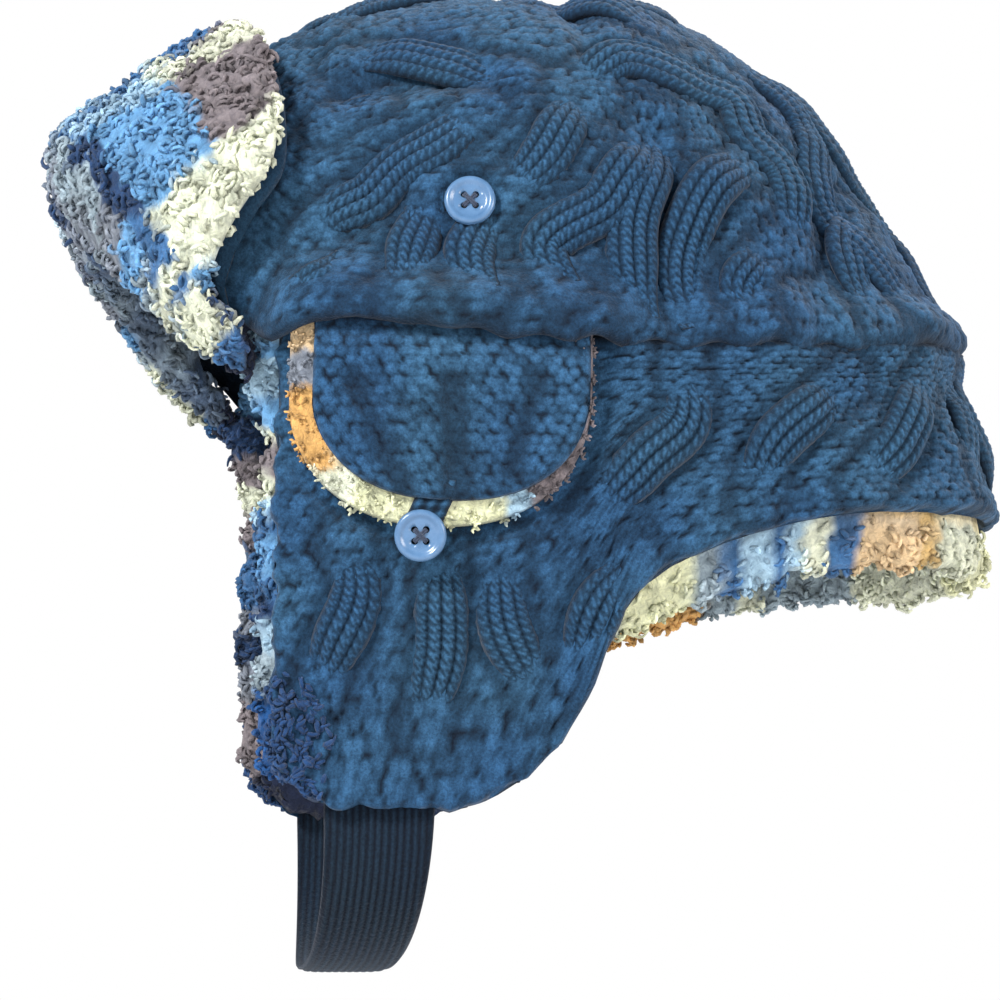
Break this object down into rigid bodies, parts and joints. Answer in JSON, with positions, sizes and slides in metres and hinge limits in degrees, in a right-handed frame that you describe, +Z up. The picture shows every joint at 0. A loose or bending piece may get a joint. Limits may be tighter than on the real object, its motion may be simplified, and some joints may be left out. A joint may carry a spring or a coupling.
{
  "type": "winter hat",
  "caption": "Cable-knit trapper hat with plaid fleece lining, turned-up front flap, ear flaps, buttoned ear covers and a chin strap.",
  "frame": {"origin": "middle of the head opening, level with the seam between crown and band, where a head holds the hat", "axes": "+Z up, the wearer faces -Y, the wearer's left is +X, symmetric about X = 0"},
  "size_m": [0.1938, 0.3017, 0.3111],
  "materials": {
    "navy_knit": "cable knit of soft matte yarn",
    "plaid_fleece": "curly plaid fleece",
    "cover_fleece": "curly plaid fleece",
    "blue_button": "semi-gloss moulded plastic",
    "navy_thread": "sewing thread",
    "strap_knit": "fine ribbed knit"
  },
  "bodies": {
    "root": {"crown_knit": "navy_knit", "band_knit": "navy_knit", "crown_lining": "plaid_fleece", "band_lining": "plaid_fleece", "front_flap_knit": "navy_knit", "front_flap_lining": "plaid_fleece", "ear_cover_left": "navy_knit", "ear_cover_right": "navy_knit", "ear_cover_lining_left": "cover_fleece", "ear_cover_lining_right": "cover_fleece", "crown_button_left": "blue_button", "crown_button_right": "blue_button", "cover_button_left": "blue_button", "cover_button_right": "blue_button", "crown_thread_left": "navy_thread", "crown_thread_right": "navy_thread", "cover_thread_left": "navy_thread", "cover_thread_right": "navy_thread", "chin_strap": "strap_knit"}
  },
  "joints": []
}
